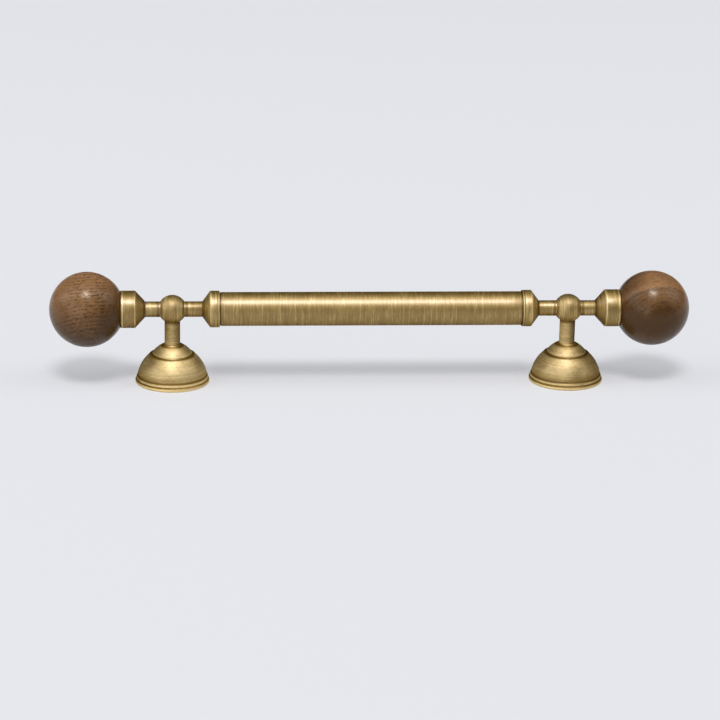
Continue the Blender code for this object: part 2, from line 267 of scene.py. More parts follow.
class BrassFinish(bpy.types.PropertyGroup):
    metal: bpy.props.FloatVectorProperty(
        name="Metal", description="Colour of the aged brass", subtype="COLOR", min=0, max=1,
        default=(0.31, 0.183, 0.012),
    )
    # Also the colour that the painted highlights reach
    rubbed: bpy.props.FloatVectorProperty(
        name="Rubbed", description="Colour of the edges that wear keeps bright", subtype="COLOR",
        min=0, max=1, default=(0.88, 0.67, 0.29),
    )
    # Also the colour that the painted shade reaches, at the sides and under the ball joints
    tarnish: bpy.props.FloatVectorProperty(
        name="Tarnish", description="Colour left in corners and seams", subtype="COLOR", min=0, max=1,
        default=(0.13, 0.07, 0.02),
    )
    edge_tint: bpy.props.FloatVectorProperty(
        name="Edge Tint", description="How much of the light the metal keeps where it turns away",
        subtype="COLOR", min=0, max=1, default=(0.05, 0.06, 0.1),
    )
    lacquer_ior: bpy.props.FloatProperty(
        name="Lacquer IOR", description="How strongly the clear lacquer shines", min=1, max=3, default=2.0
    )
    lacquer_roughness: bpy.props.FloatProperty(
        name="Lacquer Roughness", description="How dull the clear lacquer is", subtype="FACTOR", min=0, max=1,
        default=0.38,
    )
    soft_lacquer: bpy.props.FloatProperty(
        name="Soft Lacquer", description="How dull the lacquer of the feet and ball joints is",
        subtype="FACTOR", min=0, max=1, default=0.5,
    )
    grip_roughness: bpy.props.FloatProperty(
        name="Bar Roughness", description="How dull the metal along the bar is", subtype="FACTOR",
        min=0, max=1, default=0.55,
    )
    foot_roughness: bpy.props.FloatProperty(
        name="Foot Roughness", description="How dull the posts, collars and feet are", subtype="FACTOR",
        min=0, max=1, default=0.57,
    )
    line_spacing: bpy.props.FloatProperty(
        name="Line Spacing", description="Width of a brush line", unit="LENGTH", min=0.00005, default=0.3 * MM
    )
    line_length: bpy.props.FloatProperty(
        name="Line Length", description="How far a brush line runs round the piece", unit="LENGTH",
        min=0.0005, default=7.0 * MM,
    )
    line_depth: bpy.props.FloatProperty(
        name="Line Depth", description="Depth of a brush line", unit="LENGTH", min=0, default=0.012 * MM
    )


class WalnutFinish(bpy.types.PropertyGroup):
    pale: bpy.props.FloatVectorProperty(
        name="Pale Wood", description="Colour of the lightest wood", subtype="COLOR", min=0, max=1,
        default=(0.31, 0.158, 0.066),
    )
    dark: bpy.props.FloatVectorProperty(
        name="Dark Wood", description="Colour of the darkest wood", subtype="COLOR", min=0, max=1,
        default=(0.06, 0.026, 0.005),
    )
    pore: bpy.props.FloatVectorProperty(
        name="Pores", description="Colour inside the open pores", subtype="COLOR", min=0, max=1,
        default=(0.035, 0.016, 0.007),
    )
    ring_width: bpy.props.FloatProperty(
        name="Ring Width", description="Width of one year's growth", unit="LENGTH", min=0.0002,
        default=1.15 * MM,
    )
    trunk: bpy.props.FloatProperty(
        name="Trunk", description="Distance from the tree's heart to the ball", unit="LENGTH", min=0.005,
        default=32.0 * MM,
    )
    roughness: bpy.props.FloatProperty(
        name="Roughness", description="How dull the oiled wood is", subtype="FACTOR",
        min=0, max=1, default=0.25,
    )
    gloss: bpy.props.FloatProperty(
        name="Gloss", description="How strongly the oiled wood shines", subtype="FACTOR",
        min=0, max=1, default=0.3,
    )
    gloss_tint: bpy.props.FloatVectorProperty(
        name="Gloss Tint", description="Colour of the shine on the wood", subtype="COLOR", min=0, max=1,
        default=(1.0, 0.92, 0.84),
    )


class ThreadFinish(bpy.types.PropertyGroup):
    steel: bpy.props.FloatVectorProperty(
        name="Steel", description="Colour of the tie rod and the studs", subtype="COLOR", min=0, max=1,
        default=(0.5, 0.5, 0.49),
    )
    brass: bpy.props.FloatVectorProperty(
        name="Insert Brass", description="Colour of the inserts in the wood", subtype="COLOR", min=0, max=1,
        default=(0.62, 0.45, 0.18),
    )


class TurningSizes(bpy.types.PropertyGroup):
    facets: bpy.props.IntProperty(
        name="Facets", description="Faces round a turned piece", min=24, max=256, default=128
    )
    edge: bpy.props.FloatProperty(
        name="Edge", description="Width of an eased edge", unit="LENGTH", min=0.00001, default=0.12 * MM
    )


class StageLight(bpy.types.PropertyGroup):
    floor: bpy.props.FloatVectorProperty(
        name="Floor", description="How pale the floor looks", subtype="COLOR", min=0, max=1,
        default=(0.725, 0.732, 0.76),
    )
    key: bpy.props.FloatProperty(
        name="Key", description="Strength of the small key light", min=0, default=1.75
    )
    key_width: bpy.props.FloatProperty(
        name="Key Width", description="Width of the key light as the pull sees it", subtype="ANGLE", min=0,
        default=math.radians(18),
    )
    key_height: bpy.props.FloatProperty(
        name="Key Height", description="Height of the key light over the front", subtype="ANGLE",
        default=math.radians(64),
    )
    strip: bpy.props.FloatProperty(
        name="Strip", description="Power of the long strip light overhead", unit="POWER", min=0, default=23.0
    )
    strip_height: bpy.props.FloatProperty(
        name="Strip Height", description="Height of the strip light over the front", subtype="ANGLE",
        default=math.radians(81),
    )
    card: bpy.props.FloatProperty(
        name="Card", description="Power of the pale card beside the front", unit="POWER", min=0, default=7.5
    )
    left_panel: bpy.props.FloatProperty(
        name="Left Panel", description="Power of the panel on the left", unit="POWER", min=0, default=9.0
    )
    right_panel: bpy.props.FloatProperty(
        name="Right Panel", description="Power of the panel on the right", unit="POWER", min=0, default=6.5
    )
    fill: bpy.props.FloatProperty(
        name="Fill", description="Strength of the even light all round", min=0, default=0.12
    )
    fill_slope: bpy.props.FloatVectorProperty(
        name="Fill Slope", description="Side on which the even light is stronger", subtype="DIRECTION",
        default=(-0.5, -0.6, 1.0),
    )


class BarPullLooks(bpy.types.PropertyGroup):
    brass: bpy.props.PointerProperty(type=BrassFinish)
    walnut: bpy.props.PointerProperty(type=WalnutFinish)
    threads: bpy.props.PointerProperty(type=ThreadFinish)
    turning: bpy.props.PointerProperty(type=TurningSizes)
    stage: bpy.props.PointerProperty(type=StageLight)


class Shade:
    """A node's output while a finish is mixed. A sum written on it becomes Math nodes."""

    def __init__(self, tree, socket=None):
        self.tree = tree
        self.socket = socket

    def node(self, kind, settings=None, sockets=None, output=0):
        """Adds a node: its settings first, then the values or links of its sockets. Gives one output."""
        new = self.tree.nodes.new(kind)
        for key, value in (settings or {}).items():
            if key == "stops":
                elements = new.color_ramp.elements
                elements.remove(elements[-1])
                elements[0].position, elements[0].color = value[0]
                for position, colour in value[1:]:
                    elements.new(position).color = colour
            else:
                setattr(new, key, value)
        for key, value in (sockets or {}).items():
            if isinstance(value, Shade):
                self.tree.links.new(value.socket, new.inputs[key])
            else:
                new.inputs[key].default_value = value
        return Shade(self.tree, new.outputs[output])

    def part(self, output):
        """Another output of the same node."""
        return Shade(self.tree, self.socket.node.outputs[output])

    def maths(self, operation, first, second=0.0, clamp=False):
        settings = {"operation": operation, "use_clamp": clamp}
        return self.node("ShaderNodeMath", settings, {0: first, 1: second})

    def __add__(self, other):
        return self.maths("ADD", self, other)

    __radd__ = __add__

    def __sub__(self, other):
        return self.maths("SUBTRACT", self, other)

    def __rsub__(self, other):
        return self.maths("SUBTRACT", other, self)

    def __mul__(self, other):
        return self.maths("MULTIPLY", self, other)

    __rmul__ = __mul__

    def __truediv__(self, other):
        return self.maths("DIVIDE", self, other)

    def __pow__(self, other):
        return self.maths("POWER", self, other)

    def __abs__(self):
        return self.maths("ABSOLUTE", self)

    def clamp(self):
        return self.maths("ADD", self, 0.0, clamp=True)

    def fraction(self):
        return self.maths("FRACT", self)

    def swing(self, size):
        """A noise moved to swing evenly about 0, over a range of size."""
        return size * (self - 0.5)

    def climb(self, foot, slope):
        """0 up to foot, then rising with a slope until it is 1."""
        return ((self - foot) * slope).clamp()

    def ridge(self, place, width):
        """1 at a place, falling to 0 at a distance of width on either side."""
        return self.maths("SUBTRACT", 1.0, abs(self - place) / width, clamp=True)

    def marks(self, marks):
        """Marks laid over each other, at their places along this distance."""
        return sum((mark.strength * self.ridge(mark.place, mark.width) for mark in marks), self * 0.0)

    def position(self):
        """Where a point lies on the piece."""
        return self.node("ShaderNodeTexCoord", None, None, "Object")

    def axes(self):
        """The x, y and z of a vector."""
        x = self.node("ShaderNodeSeparateXYZ", None, {0: self})
        return x, x.part(1), x.part(2)

    def vector(self, x, y, z):
        return self.node("ShaderNodeCombineXYZ", None, {0: x, 1: y, 2: z})

    def vectors(self, operation, sockets, output=0):
        return self.node("ShaderNodeVectorMath", {"operation": operation}, sockets, output)

    def noise(self, point, scale, detail, roughness=0.5):
        sockets = {"Vector": point, "Scale": scale, "Detail": detail, "Roughness": roughness}
        return self.node("ShaderNodeTexNoise", None, sockets)

    def blend(self, factor, first, second):
        """One colour passing into another."""
        return self.node("ShaderNodeMix", {"data_type": "RGBA"}, {0: factor, 6: first, 7: second}, 2)


def opaque(colour):
    return (*colour, 1.0)


def new_finish(name):
    """A material without nodes, and a Shade that adds them."""
    material = bpy.data.materials.new(name)
    material.use_nodes = True
    material.node_tree.nodes.clear()
    return material, Shade(material.node_tree)


def surface(start, shader):
    """Links the finished shader to the material's output."""
    output = start.tree.nodes.new("ShaderNodeOutputMaterial")
    start.tree.links.new(shader.socket, output.inputs["Surface"])


def brass(name, finish, axis, rubs_and_highlights=(), stains_and_shade=(), painted_side_shades=(), wear=0.5, lean=0.0, soft=False):
    """Aged brass with fine lines round the turning axis. The rubs and stains hold its marks: rubbed edges and
    tarnish, and also painted highlights and painted shade. The side marks are painted shade that gathers at
    the two sides. wear says how bright the whole piece is rubbed, and lean is painted light: how much
    brighter it is per metre up the bar or away from the grip. Fingers have worn the clear lacquer thin on the
    underside."""
    material, start = new_finish(name)
    point = start.position()
    x, y, z = point.axes()
    strokes = 0.0
    if axis is BAR:
        brush, along, course, side, dull = BAR_BRUSH, abs(x), x, z - AXIS_HEIGHT, finish.grip_roughness
        across, upright = brush.lengths
        slants = [((x + slope * z) / finish.line_spacing, y / across, z / upright) for slope in brush.slopes]
    else:
        brush, along, course, side, dull = POST_BRUSH, z, z, abs(x) - POST_X, finish.foot_roughness
        level, thin, upright = brush.lengths
        slants = [
            ((x + y) / level, (z + slope * x) / thin, (z - slope * x) / upright) for slope in brush.slopes
        ]
    for slant in slants:
        strokes = strokes + start.noise(start.vector(*slant), 1.0, 2.0).swing(brush.strength)
    radius = (y * y + side * side) ** 0.5
    around = (y + 0.7 * side + 0.2 * x) / finish.line_length
    grain = start.vector(course / finish.line_spacing, radius / finish.line_spacing, around)
    lines = start.noise(grain, 1.0, 3.0, 0.6)
    clouds = start.noise(point, BRASS_CLOUDS, 2.0)
    # Rubs brighten with wear and painted highlights, stains darken with tarnish and painted shade, and the
    # side marks add painted shade that grows towards the two sides
    rub_and_highlight = along.marks(rubs_and_highlights)
    stain_and_shade = along.marks(stains_and_shade) + along.marks(painted_side_shades) * (abs(side) / SIDE_SHADE_REACH).clamp()
    # lean * side is painted light: one side of the piece lighter than the other
    tone = wear + lean * side + lines.swing(brush.contrast) + clouds.swing(0.28) + strokes
    tone = (tone + rub_and_highlight * (0.6 + 0.8 * clouds) - stain_and_shade).clamp()
    # The dark end stands for tarnish and painted shade, the bright end for rubbed brass and painted
    # highlights
    stops = [(0.0, opaque(finish.tarnish)), (0.5, opaque(finish.metal)), (1.0, opaque(finish.rubbed))]
    colour = start.node("ShaderNodeValToRGB", {"stops": stops}, {0: tone})
    roughness = dull + lines.swing(0.16) + clouds.swing(0.12) + 0.2 * stain_and_shade
    relief = {"Strength": 1.0, "Distance": finish.line_depth, "Height": lines}
    bump = start.node("ShaderNodeBump", None, relief)
    facing = start.node("ShaderNodeLayerWeight", None, {"Blend": 0.5}, "Facing")
    upward = start.node("ShaderNodeNewGeometry", None, None, "Normal").axes()[2]
    kept = UNDERSIDE_LACQUER + (1.0 - UNDERSIDE_LACQUER) * upward.climb(0.2, 4.0)
    lacquer = (1.0 - 0.85 * facing) * (1.0 - 1.4 * stain_and_shade) * kept
    shader = start.node(
        "ShaderNodeBsdfPrincipled",
        None,
        {
            "Base Color": colour,
            "Metallic": 1.0,
            "Roughness": roughness,
            "Specular Tint": opaque(finish.edge_tint),
            "Normal": bump,
            "Coat Weight": lacquer.clamp(),
            "Coat IOR": finish.lacquer_ior,
            "Coat Roughness": finish.soft_lacquer if soft else finish.lacquer_roughness,
        },
    )
    surface(start, shader)
    return material


def walnut(name, finish, centre, grain):
    """Oiled walnut, with its fibres level and its growth rings lying across the grain's pole. Its dashes
    fade towards the ends of the ball, where the fibres are cut across."""
    material, start = new_finish(name)
    pole = Vector(grain.pole).normalized()
    across = Vector((0.0, 0.0, 1.0)).cross(pole).normalized()
    lay = Matrix((across, pole.cross(across), pole))
    point = start.position()
    sockets = {"Vector": point, "Location": -(lay @ centre), "Rotation": lay.to_euler()}
    local = start.node("ShaderNodeMapping", None, sockets)
    bent = local
    for scale, amount in BENDS:
        drift = start.node("ShaderNodeTexNoise", None, {"Vector": local, "Scale": scale, "Detail": 2.0}, 1)
        shift = start.vectors("SUBTRACT", {0: drift, 1: (0.5, 0.5, 0.5)})
        bent = start.vectors("ADD", {0: bent, 1: start.vectors("SCALE", {0: shift, "Scale": amount})})
    x, y, z = bent.axes()
    depth = z + finish.trunk
    years = (y * y + depth * depth) ** 0.5 / finish.ring_width
    edge = years.fraction().ridge(0.6, 0.4)
    gaps = start.noise(start.vector(x / DASH_LENGTH, years * 2.0, y / DASH_WIDTH), 1.0, 1.0)
    season = start.noise(start.vector(years * 0.45, 0.0, 0.0), 1.0, 2.0)
    fibre = start.noise(start.vector(x / FIBRE_LENGTH, y / FIBRE_WIDTH, z / FIBRE_WIDTH), 1.0, 3.0, 0.6)
    pores = start.noise(start.vector(x / PORE_LENGTH, y / PORE_WIDTH, z / PORE_WIDTH), 1.0, 1.0)
    pore = (pores + 0.1 * edge).climb(0.6, 9.0)
    clouds = start.noise(local, WOOD_CLOUDS, 2.0)
    paler = ((grain.sap - z) / grain.passage).clamp()
    way = start.vectors("SUBTRACT", {0: point, 1: centre})
    faded = 1.0 - 0.8 * (abs(way.axes()[0]) / BALL_RADIUS).climb(0.42, 3.5)
    # Darker wood, with painted shade and a painted highlight among the patches
    darker_wood_and_painted_light = 0.0
    for patch in grain.patches:
        lean = start.vectors("DOT_PRODUCT", {0: way, 1: Vector(patch.way).normalized()}, 1)
        darker_wood_and_painted_light = darker_wood_and_painted_light + patch.strength * lean.climb(patch.near, 1.0 / (patch.far - patch.near))
    dashes = grain.dashes * edge * gaps.climb(0.46, 6.0) * faded
    line = grain.line * z.ridge(grain.sap + SAP_LINE_OFFSET, SAP_LINE_WIDTH) * gaps.climb(0.36, 5.0)
    tone = 0.42 + clouds.swing(0.5) + season.swing(0.4) + fibre.swing(0.6)
    tone = (tone + 0.36 * paler - dashes - darker_wood_and_painted_light - line).clamp()
    body = start.blend(tone, opaque(finish.dark), opaque(finish.pale))
    colour = start.blend(2.5 * grain.dashes * pore * faded, body, opaque(finish.pore))
    roughness = finish.roughness + fibre.swing(0.1) + 0.2 * pore
    relief = {"Strength": 0.4, "Distance": PORE_DEPTH, "Height": 0.4 * fibre - pore}
    bump = start.node("ShaderNodeBump", None, relief)
    shader = start.node(
        "ShaderNodeBsdfPrincipled",
        None,
        {
            "Base Color": colour,
            "Roughness": roughness,
            "Specular IOR Level": finish.gloss,
            "Specular Tint": opaque(finish.gloss_tint),
            "Normal": bump,
        },
    )
    surface(start, shader)
    return material


def thread_metal(name, colour):
    """Plain metal of the threaded pieces inside, with the crests of its thread a little brighter."""
    material, start = new_finish(name)
    point = start.position()
    crest = (point.axes()[0] / THREAD_PITCH).fraction().ridge(0.5, 0.5)
    specks = start.noise(point, THREAD_SPECKS, 3.0)
    tone = (0.35 + 0.5 * crest + specks.swing(0.4)).clamp()
    dark = tuple(0.35 * part for part in colour)
    shade = start.blend(tone, opaque(dark), opaque(colour))
    sockets = {"Base Color": shade, "Metallic": 1.0, "Roughness": 0.3 + 0.25 * specks}
    surface(start, start.node("ShaderNodeBsdfPrincipled", None, sockets))
    return material


def deselect():
    bpy.ops.object.select_all(action="DESELECT")


def select_only(piece):
    deselect()
    piece.select_set(True)
    bpy.context.view_layer.objects.active = piece


def on_axis(axis, place):
    return axis.origin + axis.direction * place


def select_ring(piece, axis, radius, place):
    """Selects, by its place, one ring of a turned piece in edit mode."""
    bpy.ops.object.mode_set(mode="OBJECT")
    mesh = piece.data
    found = set()
    for vertex in mesh.vertices:
        offset = piece.matrix_world @ vertex.co - axis.origin
        height = offset.dot(axis.direction)
        distance = (offset - axis.direction * height).length
        vertex.select = abs(height - place) < WELD and abs(distance - radius) < WELD
        if vertex.select:
            found.add(vertex.index)
    for edge in mesh.edges:
        edge.select = edge.vertices[0] in found and edge.vertices[1] in found
    for face in mesh.polygons:
        face.select = False
    if not found:
        raise RuntimeError(f"{piece.name} has no ring of radius {radius} at {place}")
    bpy.ops.object.mode_set(mode="EDIT")
    bpy.ops.mesh.select_mode(type="EDGE")


def draw_ring(axis, last, station):
    """Draws the selected ring out from its last station to the next one."""
    (radius, place), (next_radius, next_place) = last[:2], station[:2]
    bpy.ops.mesh.extrude_region_move(TRANSFORM_OT_translate={"value": axis.direction * (next_place - place)})
    if next_radius == 0:
        bpy.ops.mesh.merge(type="CENTER")
    elif next_radius != radius:
        scale = next_radius / radius
        bpy.ops.transform.resize(value=(scale, scale, scale), center_override=on_axis(axis, next_place))


def turn(name, axis, profile, facets):
    """Turns a piece ring by ring from a circle. profile holds (radius, place on the axis) or, for a ring
    whose edge is eased, (radius, place, width). A profile that ends on the axis is capped at both ends, and
    any other closes into a ring."""
    deselect()
    capped = profile[-1][0] == 0
    stations = list(profile) if capped else [*profile, profile[0]]
    first = stations[1] if capped else stations[0]
    bpy.ops.mesh.primitive_circle_add(
        vertices=facets, radius=first[0], location=on_axis(axis, first[1]), rotation=axis.turn
    )
    piece = bpy.context.object
    piece.name = piece.data.name = name
    bpy.ops.object.mode_set(mode="EDIT")
    last = first
    for station in stations[2 if capped else 1 :]:
        draw_ring(axis, last, station)
        last = station
    if capped:
        select_ring(piece, axis, *first[:2])
        draw_ring(axis, first, stations[0])
    bpy.ops.mesh.select_all(action="SELECT")
    bpy.ops.mesh.remove_doubles(threshold=WELD)
    for station in profile:
        if len(station) > 2:
            select_ring(piece, axis, *station[:2])
            bpy.ops.mesh.bevel(offset=station[2], segments=EASE_STEPS, affect="EDGES")
    finish_mesh(piece)
    return piece


def finish_mesh(piece):
    """Turns every face outwards and leaves the piece at the origin, with its place in its mesh."""
    bpy.ops.mesh.select_all(action="SELECT")
    bpy.ops.mesh.normals_make_consistent(inside=False)
    bpy.ops.object.mode_set(mode="OBJECT")
    select_only(piece)
    bpy.ops.object.transform_apply(location=True, rotation=True, scale=True)
    bpy.ops.object.shade_smooth_by_angle(angle=SMOOTH_ANGLE)


def other_end(piece, name):
    """A copy of a right-hand piece, with a mesh of its own, turned round to the left-hand end."""
    select_only(piece)
    bpy.ops.object.duplicate(linked=False)
    copy = bpy.context.object
    copy.name = copy.data.name = name
    bpy.ops.transform.rotate(value=math.pi, orient_axis="Z", center_override=(0.0, 0.0, 0.0))
    bpy.ops.object.transform_apply(location=True, rotation=True, scale=True)
    return copy


def fit(piece, node, material):
    """Gives a piece its finish and sets it in the frame in place of its solid."""
    piece.data.materials.clear()
    piece.data.materials.append(material)
    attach(piece, "root")
    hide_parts(node)


def fit_pair(piece, part, materials):
    """Fits a right-hand piece and its copy at the left-hand end."""
    left = other_end(piece, piece.name.replace("right", "left"))
    fit(piece, "right_" + part, materials[0])
    fit(left, "left_" + part, materials[-1])


def worn_brass_with_painted_light(name, finish, wears_and_painted_light, *marks, soft=False):
    """Brass for the right-hand and the left-hand piece on the posts' axes, each rubbed in its own way and
    each with its own painted light, brighter at one end and on one side.
    """
    return [brass(f"{name}_{end}", finish, POST, *marks, wear, lean, soft) for end, wear, lean in wears_and_painted_light]


def arc(start, end, centre, steps):
    """Stations after start, up to end, on an arc round a centre that lies on the turning axis."""
    first = math.atan2(start[1] - centre, start[0])
    last = math.atan2(end[1] - centre, end[0])
    radius = math.hypot(start[0], start[1] - centre)
    angles = [first + (last - first) * i / steps for i in range(1, steps)]
    return [(radius * math.cos(a), centre + radius * math.sin(a)) for a in angles] + [end]


def dome(start, end, steps):
    """Stations after start, up to end, on the arc through both whose centre lies on the axis."""
    (r0, z0), (r1, z1) = start[:2], end[:2]
    return arc(start, end, (r0**2 + z0**2 - r1**2 - z1**2) / (2 * (z0 - z1)), steps)


def cove(start, spread, drop, steps):
    """Stations after start on a hollow that falls by drop while it spreads out until it is level."""
    angles = [math.pi / 2 * i / steps for i in range(1, steps + 1)]
    return [(start[0] + spread * (1 - math.cos(a)), start[1] - drop * math.sin(a)) for a in angles]


def bead(radius, low, high, bulge, steps):
    """Stations after high, down to low, on a bead that stands out from radius by bulge."""
    half = (high - low) / 2
    curve = (half**2 + bulge**2) / (2 * bulge)
    reach = math.asin(half / curve)
    stations = []
    for i in range(1, steps + 1):
        angle = reach * (1 - 2 * i / steps)
        place = (low + high) / 2 + curve * math.sin(angle)
        stations.append((radius + bulge - curve * (1 - math.cos(angle)), place))
    return stations


class BARPULL_OT_grip(bpy.types.Operator):
    """Turns the brushed tube that the hand pulls"""

    bl_idname = "barpull.grip"
    bl_label = "Grip"

    def execute(self, context):
        looks = context.scene.bar_pull
        half = GRIP_END - SEAM
        neck = half - GROOVE_WIDTH
        step = neck - GROOVE_SLOPE
        middle = [(GRIP_RADIUS, step * (1 - 2 * i / GRIP_RINGS)) for i in range(1, GRIP_RINGS)]
        shoulder = (GRIP_RADIUS, step, looks.turning.edge)
        right = [(GRIP_BORE, half), (GRIP_NECK, half), (GRIP_NECK, neck), shoulder]
        left = [(station[0], -station[1], *station[2:]) for station in reversed(right)]
        piece = turn("brushed_grip", BAR, [*right, *middle, *left], looks.turning.facets)
        stains_and_shade = [Mark(half, 0.4 * MM, 0.35), Mark(half, 1.4 * MM, 0.1)]
        fit(piece, "grip_tube", brass("brushed_brass_grip", looks.brass, BAR, stains_and_shade=stains_and_shade))
        return {"FINISHED"}


class BARPULL_OT_ferrules(bpy.types.Operator):
    """Turns the banded cones that close the ends of the grip"""

    bl_idname = "barpull.ferrules"
    bl_label = "Ferrules"

    def execute(self, context):
        looks = context.scene.bar_pull
        edge = looks.turning.edge
        inner = FERRULE_LOW.x
        bead_radius = FERRULE_RADIUS - BAND_LINE
        profile = [
            (TAPPED_RADIUS, FERRULE_TIP),
            (CONE_TIP, FERRULE_TIP, edge),
            (FERRULE_RADIUS, FERRULE_SHOULDER, edge),
            (FERRULE_RADIUS, BAND_BEAD_TOP + BAND_LINE, BAND_LINE_EDGE),
            (bead_radius, BAND_BEAD_TOP),
            *bead(bead_radius, BAND_BEAD_FOOT, BAND_BEAD_TOP, BAND_LINE, BAND_BEAD_STEPS),
            (bead_radius - BAND_UNDERCUT, GRIP_END),
            (FERRULE_SPIGOT, GRIP_END),
            (FERRULE_SPIGOT, inner),
            (TAPPED_RADIUS, inner),
        ]
        piece = turn("right_ferrule_turned", BAR, profile, looks.turning.facets)
        rubs_and_highlights = [Mark(FERRULE_SHOULDER, 0.4 * MM, 0.28), Mark(GRIP_END + 0.36 * MM, 0.3 * MM, 0.1)]
        stains_and_shade = [
            Mark(FERRULE_TIP, 1.0 * MM, 0.4),
            Mark(BAND_BEAD_TOP, 0.12 * MM, 0.15),
            Mark(GRIP_END, 0.12 * MM, 0.5),
        ]
        metal = brass("turned_brass_ferrule", looks.brass, BAR, rubs_and_highlights, stains_and_shade, wear=0.6)
        fit_pair(piece, "ferrule", [metal])
        return {"FINISHED"}


class BARPULL_OT_rods(bpy.types.Operator):
    """Turns the thin rods between the ferrules and the cups"""

    bl_idname = "barpull.rods"
    bl_label = "Cross Rods"

    def execute(self, context):
        looks = context.scene.bar_pull
        inner, outer = FERRULE_TIP + SEAM, CUP_TIP - SEAM
        edge = looks.turning.edge
        profile = [
            (0.0, inner - SPIGOT_LENGTH),
            (SPIGOT_RADIUS, inner - SPIGOT_LENGTH, edge),
            (SPIGOT_RADIUS, inner),
            (ROD_RADIUS, inner, edge),
            (ROD_RADIUS, outer, edge),
            (SPIGOT_RADIUS, outer),
            (SPIGOT_RADIUS, outer + SPIGOT_LENGTH, edge),
            (0.0, outer + SPIGOT_LENGTH),
        ]
        piece = turn("right_rod_turned", BAR, profile, looks.turning.facets)
        # The broad stain by the ferrule is painted shade over the inner part of the rod; those by the ball
        # joint are tarnish and painted shade where the rod enters it
        stains_and_shade = [Mark(inner, 0.5 * MM, 0.4), Mark(outer, 0.5 * MM, 0.4), Mark(inner, 5.0 * MM, 0.12)]
        stains_and_shade += [Mark(POST_X + side * JOINT_RADIUS, 0.7 * MM, 0.4) for side in (-1, 1)]
        metal = brass("turned_brass_rod", looks.brass, BAR, stains_and_shade=stains_and_shade, wear=0.58)
        fit_pair(piece, "cross_rod", [metal])
        return {"FINISHED"}


class BARPULL_OT_joints(bpy.types.Operator):
    """Turns the cross-drilled balls that sit on the posts"""

    bl_idname = "barpull.joints"
    bl_label = "Ball Joints"

    def execute(self, context):
        looks = context.scene.bar_pull
        bore = ROD_RADIUS + SEAM
        reach = math.sqrt(JOINT_RADIUS**2 - bore**2)
        start, end = (bore, POST_X + reach), (bore, POST_X - reach)
        profile = [start, *arc(start, end, POST_X, JOINT_STEPS)]
        piece = turn("right_joint_turned", BAR, profile, looks.turning.facets)
        bpy.ops.object.mode_set(mode="EDIT")
        bpy.ops.mesh.select_all(action="SELECT")
        bpy.ops.mesh.bisect(
            plane_co=(POST_X, 0.0, JOINT_SEAT), plane_no=(0.0, 0.0, -1.0), use_fill=True, clear_outer=True
        )
        finish_mesh(piece)
        # Tarnish and painted shade where the rods enter, painted highlights on the two flanks, and lean
        # paints the lower half lighter
        stains_and_shade = [Mark(POST_X + side * JOINT_RADIUS, 1.3 * MM, 0.12) for side in (-1, 1)]
        rubs_and_highlights = [Mark(POST_X + side * 2.7 * MM, 1.5 * MM, 0.12) for side in (-1, 1)]
        metal = brass("turned_brass_joint", looks.brass, BAR, rubs_and_highlights, stains_and_shade, wear=0.53, lean=-8.0, soft=True)
        fit_pair(piece, "ball_joint", [metal])
        return {"FINISHED"}


class BARPULL_OT_posts(bpy.types.Operator):
    """Turns the uprights between the ball joints and the collars"""

    bl_idname = "barpull.posts"
    bl_label = "Posts"

    def execute(self, context):
        looks = context.scene.bar_pull
        top = JOINT_SEAT - SEAM
        edge = looks.turning.edge
        profile = [
            (0.0, POST_HIGH.z),
            (TENON_RADIUS, POST_HIGH.z, edge),
            (TENON_RADIUS, top),
            (POST_RADIUS, top, edge),
            (POST_RADIUS, POST_SEAT + SEAM, edge),
            (SPIGOT_RADIUS, POST_SEAT + SEAM),
            (SPIGOT_RADIUS, POST_LOW.z, edge),
            (0.0, POST_LOW.z),
        ]
        piece = turn("right_post_turned", POST, profile, looks.turning.facets)
        # The rub is a painted reflection of the collar at the foot of the post, the stain at the top is a
        # painted shadow under the ball joint, and the side marks paint shade on the two edges
        rubs_and_highlights = [Mark(COLLAR_HIGH.z + 0.4 * MM, 1.5 * MM, 0.12)]
        stains_and_shade = [Mark(top, 0.9 * MM, 0.35)]
        painted_side_shades = [Mark(top, 30.0 * MM, 0.7)]
        metals = worn_brass_with_painted_light("turned_brass_post", looks.brass, POST_WEAR_AND_PAINTED_LIGHT, rubs_and_highlights, stains_and_shade, painted_side_shades)
        fit_pair(piece, "post", metals)
        return {"FINISHED"}


